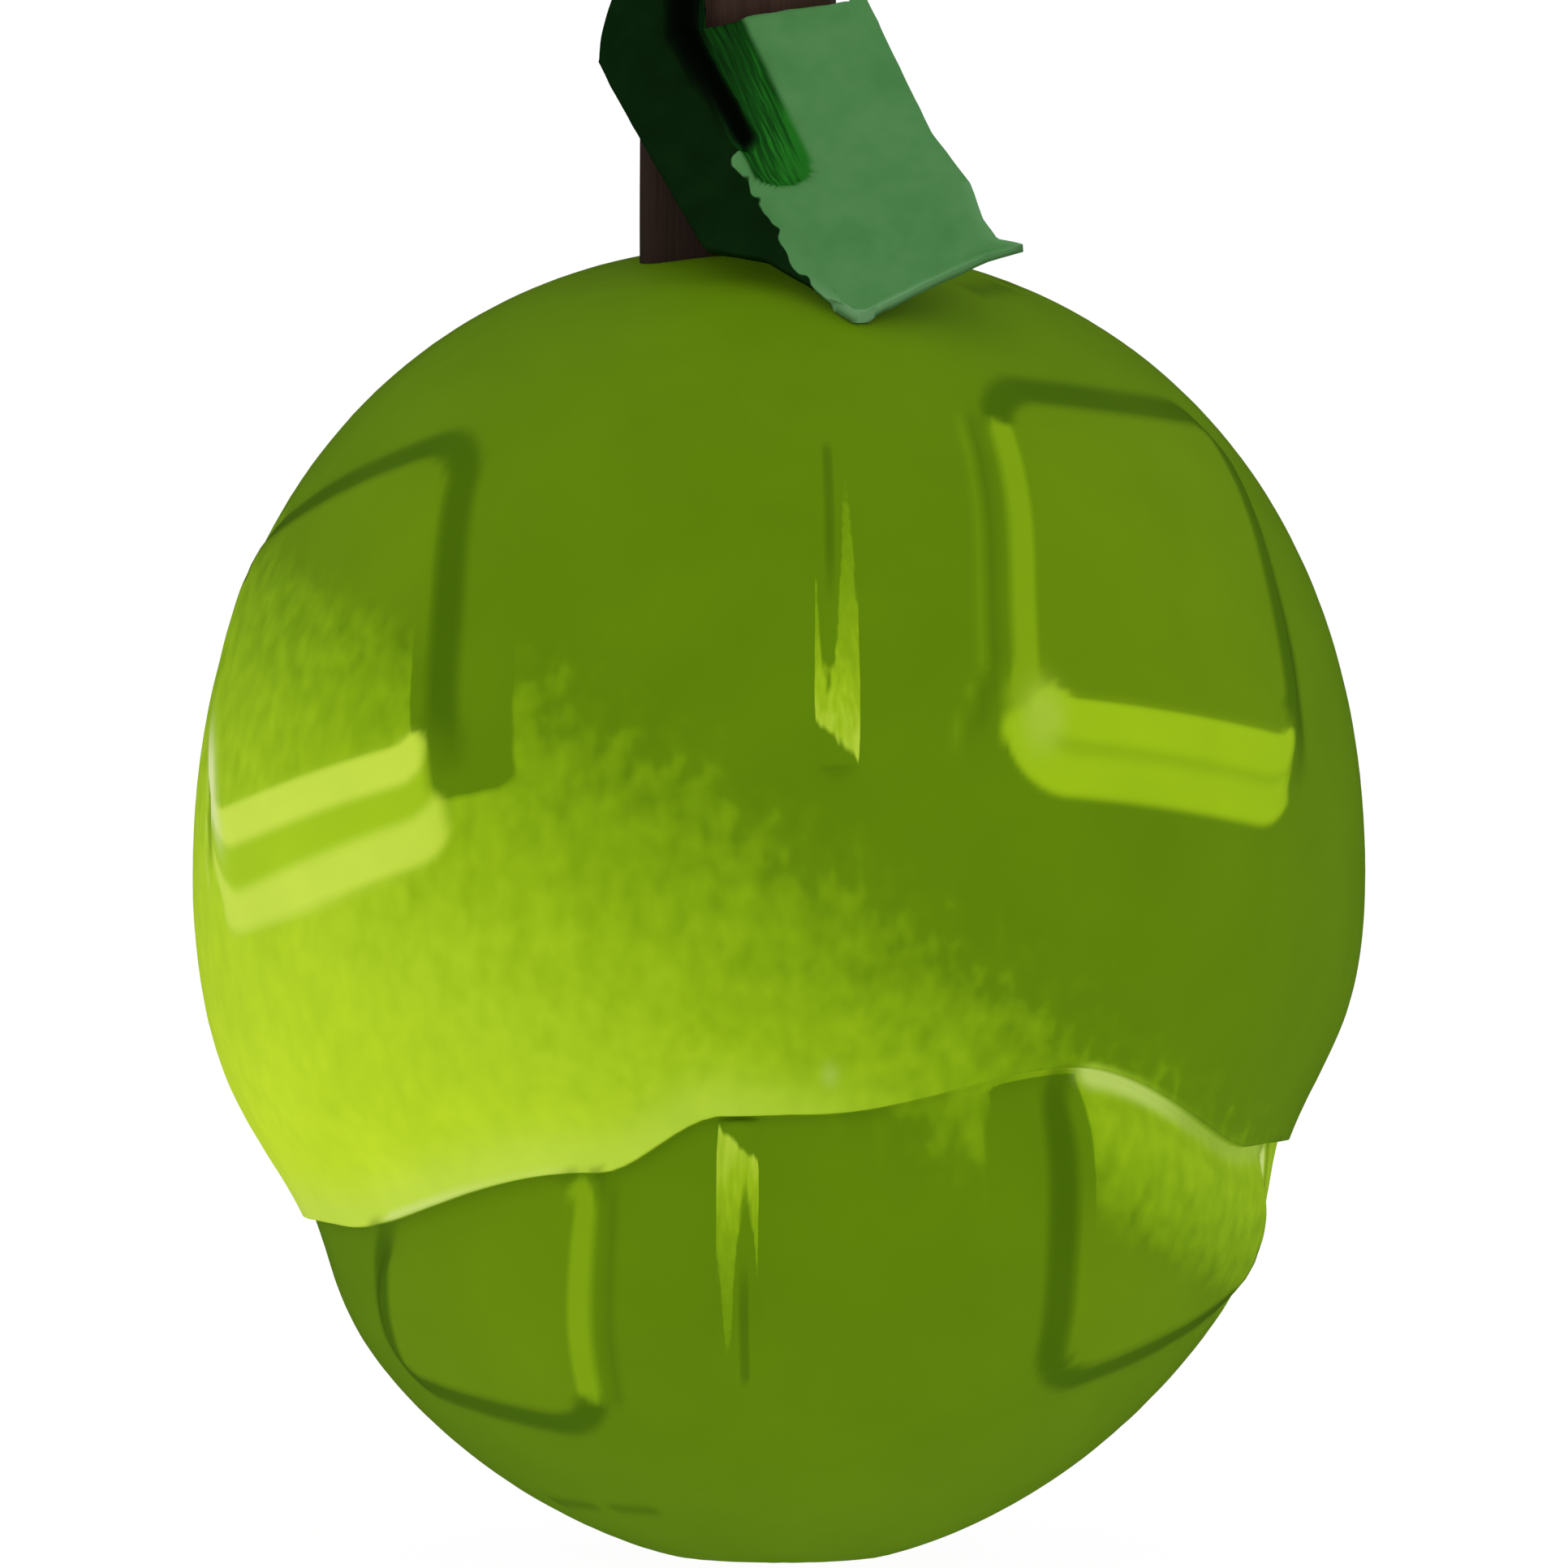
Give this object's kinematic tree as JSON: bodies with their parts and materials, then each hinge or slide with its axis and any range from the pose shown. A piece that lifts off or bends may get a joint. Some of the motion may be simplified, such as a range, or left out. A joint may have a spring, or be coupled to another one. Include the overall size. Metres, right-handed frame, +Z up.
{
  "type": "lime",
  "caption": "Whole green lime with raised rind panels and a slanting waist, a boxy brown stem and one folded leaf, standing on a small flat spot.",
  "frame": {"origin": "centre of the small flat spot that the fruit stands on", "axes": "+Z up along the fruit's axis to the stem, -Y towards the leaf side that faces the viewer, +X to that viewer's right"},
  "size_m": [0.05, 0.05, 0.0709],
  "materials": {
    "rind": "satin",
    "stem_wood": "matte",
    "leaf_blade": "satin"
  },
  "bodies": {
    "root": {"lime_fruit": "rind", "stem": "stem_wood", "leaf": "leaf_blade"}
  },
  "joints": []
}
